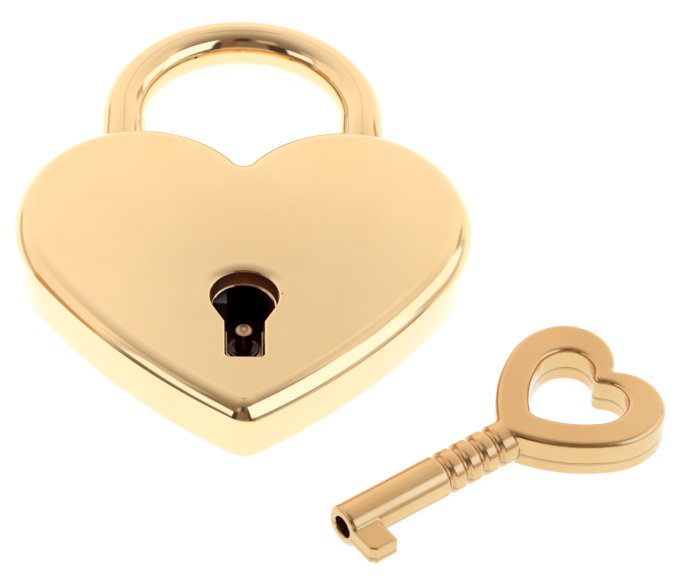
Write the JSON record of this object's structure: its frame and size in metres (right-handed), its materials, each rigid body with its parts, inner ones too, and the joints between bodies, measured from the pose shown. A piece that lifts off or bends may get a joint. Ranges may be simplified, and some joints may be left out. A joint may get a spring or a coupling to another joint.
{
  "type": "heart padlock",
  "caption": "Small heart-shaped warded padlock with a spring-lifted round-rod shackle and sliding bolt, lying on its back beside its hollow-barrelled key.",
  "frame": {"origin": "on the flat back of the case, on the axis of the key post, which stands 1.1 mm below the centre of the keyhole's round", "axes": "+X across the heart to the right seen from the face, +Y from the tip to the shackle, +Z out of the face; the lock lies on its back on z = 0 with the key beside it"},
  "size_m": [0.0414, 0.0477, 0.0043],
  "materials": {
    "case_plating": "mirror-polished light gold plate on a zinc die casting",
    "cover_plating": "light gold plate on a flat zinc cover",
    "rivet_zinc": "peened flush and plated with the cover",
    "shackle_plating": "mirror-polished light gold plate on bent steel rod",
    "turned_steel": "bare turned steel",
    "bolt_steel": "bare pressed steel",
    "spring_wire": "bare spring wire",
    "key_plating": "satin gold plate on a zinc casting"
  },
  "bodies": {
    "case": {"front_case": "case_plating", "back_cover": "cover_plating", "cover_rivets": "rivet_zinc", "key_post": "turned_steel", "shackle_stop_pin": "turned_steel", "shackle_spring": "spring_wire", "bolt_spring": "spring_wire"},
    "shackle": {"shackle": "shackle_plating"},
    "bolt": {"locking_bolt": "bolt_steel"},
    "key": {"key": "key_plating"}
  },
  "joints": [
    {"name": "shackle_lift", "type": "slide", "parent": "case", "child": "shackle", "axis": [0, 1, 0], "range_m": [0, 0.0077], "deforming": ["shackle_spring"]},
    {"name": "bolt_slide", "type": "slide", "parent": "case", "child": "bolt", "axis": [1, 0, 0], "range_m": [0, 0.00257], "deforming": ["bolt_spring"]},
    {"name": "key_pick_up", "type": "slide", "parent": "case", "child": "key", "axis": [0, 0, 1], "range_m": [0, 0.03]}
  ],
  "couplings": [
    {"joint": "bolt_slide", "follows": "shackle_lift", "ratio": 0.33333}
  ]
}
